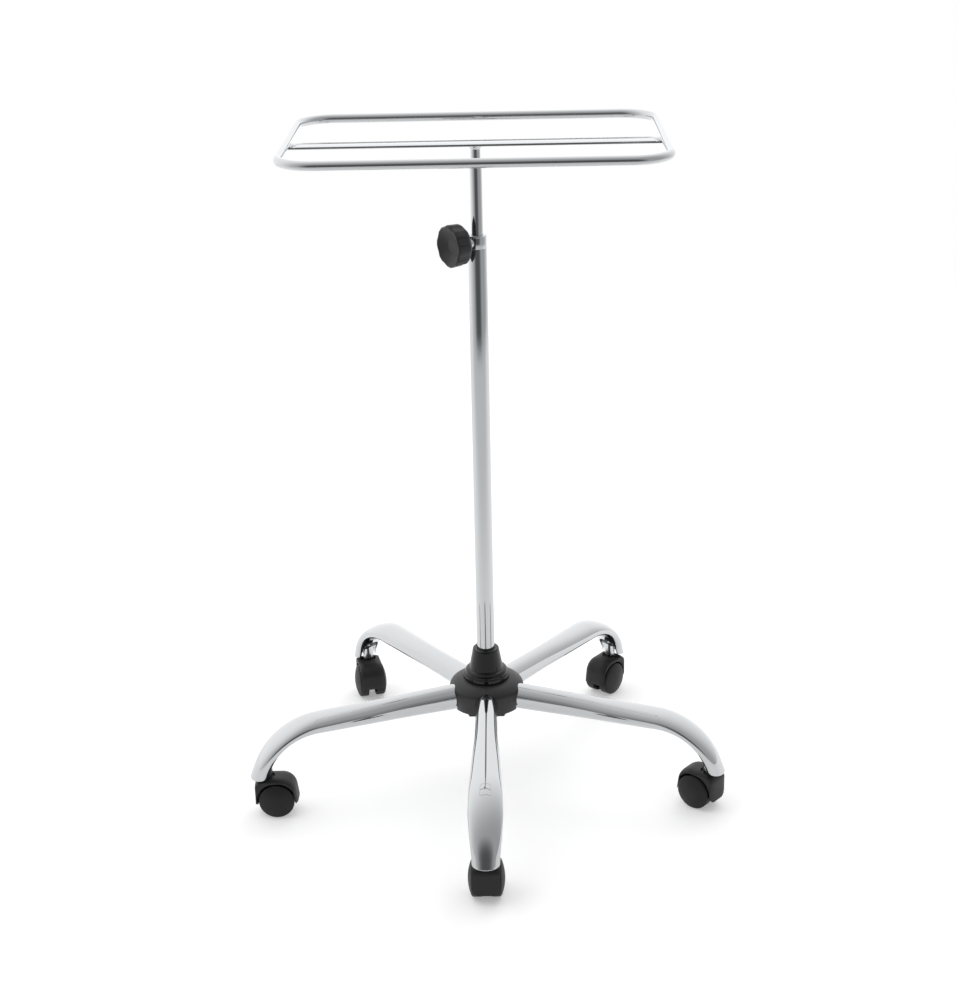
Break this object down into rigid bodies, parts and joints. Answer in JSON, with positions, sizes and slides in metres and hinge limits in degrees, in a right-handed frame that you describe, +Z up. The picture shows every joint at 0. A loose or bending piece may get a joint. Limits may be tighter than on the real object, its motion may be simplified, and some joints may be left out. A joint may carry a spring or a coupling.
{
  "type": "mayo instrument stand",
  "caption": "Wheeled instrument stand: open tray ring on a height-adjustable, turning mast with a clamp knob, on a star base with swivel casters.",
  "frame": {"origin": "on the floor, on the axis of the column", "axes": "+Z up along the column, +X along the long side of the tray ring, -Y towards the front leg"},
  "size_m": [0.6656, 0.6351, 0.9316],
  "materials": {
    "polished_chrome": "mirror polished chrome plate",
    "socket_steel": "chrome plate, less polished",
    "zinc_steel": "bright zinc",
    "hub_steel": "black paint",
    "nylon": "natural nylon",
    "brass": "turned",
    "knob_plastic": "matte moulded",
    "hub_plastic": "satin moulded",
    "cone_plastic": "glossy moulded",
    "hood_plastic": "satin moulded nylon",
    "wheel_plastic": "satin moulded nylon"
  },
  "bodies": {
    "base": {"column_tube": "polished_chrome", "collar_bush": "polished_chrome", "clamp_boss": "polished_chrome", "hub_core": "hub_steel", "column_plug": "hub_steel", "hub_washer": "zinc_steel", "hub_bolt": "zinc_steel", "hub_cover": "hub_plastic", "cone_cover": "cone_plastic", "leg_front": "polished_chrome", "stem_socket_front": "socket_steel", "caster_stem_front": "zinc_steel", "stem_ring_front": "zinc_steel", "leg_right": "polished_chrome", "stem_socket_right": "socket_steel", "caster_stem_right": "zinc_steel", "stem_ring_right": "zinc_steel", "leg_back_right": "polished_chrome", "stem_socket_back_right": "socket_steel", "caster_stem_back_right": "zinc_steel", "stem_ring_back_right": "zinc_steel", "leg_back_left": "polished_chrome", "stem_socket_back_left": "socket_steel", "caster_stem_back_left": "zinc_steel", "stem_ring_back_left": "zinc_steel", "leg_left": "polished_chrome", "stem_socket_left": "socket_steel", "caster_stem_left": "zinc_steel", "stem_ring_left": "zinc_steel"},
    "lift": {"glide_bush": "nylon"},
    "mast": {"mast_rod": "polished_chrome", "mast_weld": "polished_chrome", "cross_bar": "polished_chrome", "tray_ring": "polished_chrome"},
    "clamp_tip": {"clamp_pad": "brass"},
    "clamp_handle": {"clamp_stud": "zinc_steel", "clamp_knob": "knob_plastic"},
    "caster_front": {"caster_hood_front": "hood_plastic", "caster_axle_front": "zinc_steel"},
    "wheel_a_front": {"caster_wheel_a_front": "wheel_plastic"},
    "wheel_b_front": {"caster_wheel_b_front": "wheel_plastic"},
    "caster_right": {"caster_hood_right": "hood_plastic", "caster_axle_right": "zinc_steel"},
    "wheel_a_right": {"caster_wheel_a_right": "wheel_plastic"},
    "wheel_b_right": {"caster_wheel_b_right": "wheel_plastic"},
    "caster_back_right": {"caster_hood_back_right": "hood_plastic", "caster_axle_back_right": "zinc_steel"},
    "wheel_a_back_right": {"caster_wheel_a_back_right": "wheel_plastic"},
    "wheel_b_back_right": {"caster_wheel_b_back_right": "wheel_plastic"},
    "caster_back_left": {"caster_hood_back_left": "hood_plastic", "caster_axle_back_left": "zinc_steel"},
    "wheel_a_back_left": {"caster_wheel_a_back_left": "wheel_plastic"},
    "wheel_b_back_left": {"caster_wheel_b_back_left": "wheel_plastic"},
    "caster_left": {"caster_hood_left": "hood_plastic", "caster_axle_left": "zinc_steel"},
    "wheel_a_left": {"caster_wheel_a_left": "wheel_plastic"},
    "wheel_b_left": {"caster_wheel_b_left": "wheel_plastic"}
  },
  "joints": [
    {"name": "mast_height", "type": "slide", "parent": "base", "child": "lift", "axis": [0, 0, 1], "range_m": [-0.09, 0.35]},
    {"name": "mast_turn", "type": "hinge", "parent": "lift", "child": "mast", "pos_m": [0, 0, 0.391], "axis": [0, 0, 1], "continuous": true},
    {"name": "clamp_advance", "type": "slide", "parent": "base", "child": "clamp_tip", "axis": [-0.8211, -0.5707, 0], "range_m": [0, 0.0026]},
    {"name": "clamp_turn", "type": "hinge", "parent": "clamp_tip", "child": "clamp_handle", "pos_m": [-0.02463, -0.01712, 0.791], "axis": [-0.8211, -0.5707, 0], "range_deg": [0, 720]},
    {"name": "swivel_front", "type": "hinge", "parent": "base", "child": "caster_front", "pos_m": [0, -0.3255, 0.044], "axis": [0, 0, 1], "continuous": true},
    {"name": "roll_a_front", "type": "hinge", "parent": "caster_front", "child": "wheel_a_front", "pos_m": [0, -0.3115, 0.025], "axis": [-1, 0, 0], "continuous": true},
    {"name": "roll_b_front", "type": "hinge", "parent": "caster_front", "child": "wheel_b_front", "pos_m": [0, -0.3115, 0.025], "axis": [-1, 0, 0], "continuous": true},
    {"name": "swivel_right", "type": "hinge", "parent": "base", "child": "caster_right", "pos_m": [0.30957, -0.10058, 0.044], "axis": [0, 0, 1], "continuous": true},
    {"name": "roll_a_right", "type": "hinge", "parent": "caster_right", "child": "wheel_a_right", "pos_m": [0.29884, -0.09159, 0.025], "axis": [-0.6428, -0.766, 0], "continuous": true},
    {"name": "roll_b_right", "type": "hinge", "parent": "caster_right", "child": "wheel_b_right", "pos_m": [0.29884, -0.09159, 0.025], "axis": [-0.6428, -0.766, 0], "continuous": true},
    {"name": "swivel_back_right", "type": "hinge", "parent": "base", "child": "caster_back_right", "pos_m": [0.19132, 0.26333, 0.044], "axis": [0, 0, 1], "continuous": true},
    {"name": "roll_a_back_right", "type": "hinge", "parent": "caster_back_right", "child": "wheel_a_back_right", "pos_m": [0.18271, 0.2523, 0.025], "axis": [0.788, -0.6157, 0], "continuous": true},
    {"name": "roll_b_back_right", "type": "hinge", "parent": "caster_back_right", "child": "wheel_b_back_right", "pos_m": [0.18271, 0.2523, 0.025], "axis": [0.788, -0.6157, 0], "continuous": true},
    {"name": "swivel_back_left", "type": "hinge", "parent": "base", "child": "caster_back_left", "pos_m": [-0.19132, 0.26333, 0.044], "axis": [0, 0, 1], "continuous": true},
    {"name": "roll_a_back_left", "type": "hinge", "parent": "caster_back_left", "child": "wheel_a_back_left", "pos_m": [-0.18794, 0.24975, 0.025], "axis": [0.9703, 0.2419, 0], "continuous": true},
    {"name": "roll_b_back_left", "type": "hinge", "parent": "caster_back_left", "child": "wheel_b_back_left", "pos_m": [-0.18794, 0.24975, 0.025], "axis": [0.9703, 0.2419, 0], "continuous": true},
    {"name": "swivel_left", "type": "hinge", "parent": "base", "child": "caster_left", "pos_m": [-0.30957, -0.10058, 0.044], "axis": [0, 0, 1], "continuous": true},
    {"name": "roll_a_left", "type": "hinge", "parent": "caster_left", "child": "wheel_a_left", "pos_m": [-0.29557, -0.10058, 0.025], "axis": [0, 1, 0], "continuous": true},
    {"name": "roll_b_left", "type": "hinge", "parent": "caster_left", "child": "wheel_b_left", "pos_m": [-0.29557, -0.10058, 0.025], "axis": [0, 1, 0], "continuous": true}
  ],
  "couplings": [
    {"joint": "clamp_advance", "follows": "clamp_turn", "m_per_rad": 0.00019894}
  ]
}
